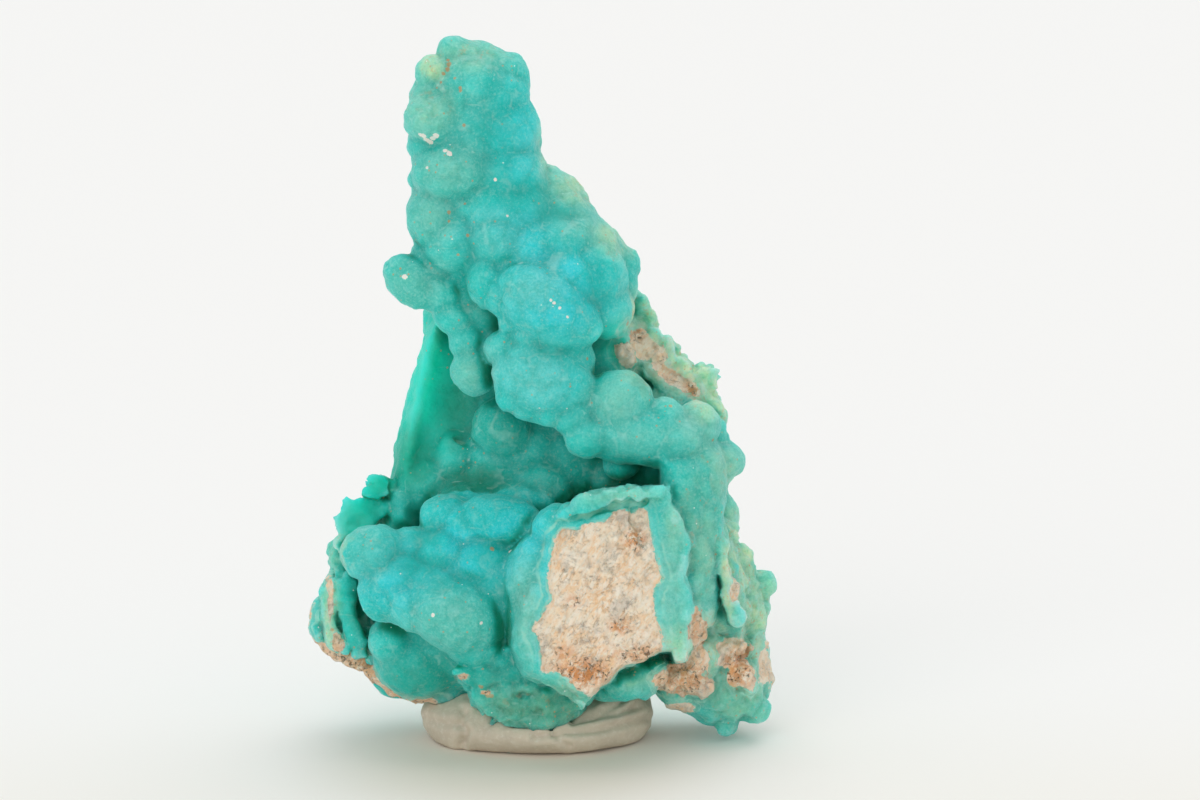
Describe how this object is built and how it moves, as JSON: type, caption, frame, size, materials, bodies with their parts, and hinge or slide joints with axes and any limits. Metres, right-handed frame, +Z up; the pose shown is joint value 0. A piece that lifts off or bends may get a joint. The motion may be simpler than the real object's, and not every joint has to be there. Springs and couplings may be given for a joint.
{
  "type": "hemimorphite mineral specimen",
  "caption": "Upright blue-green botryoidal hemimorphite specimen with exposed cream matrix, standing on a small lump of mineral putty.",
  "frame": {"origin": "middle of the putty's flat underside, on the surface that the specimen stands on", "axes": "+Z up, -Y out of the front of the specimen, +X to the right seen from the front"},
  "size_m": [0.0523, 0.0314, 0.0785],
  "materials": {
    "crust": "translucent blue-green mineral crust with a fine sugary sparkle, cream rock where it is broken",
    "putty": "matte off-white mineral putty"
  },
  "bodies": {
    "root": {"specimen": "crust", "putty_pad": "putty"}
  },
  "joints": []
}
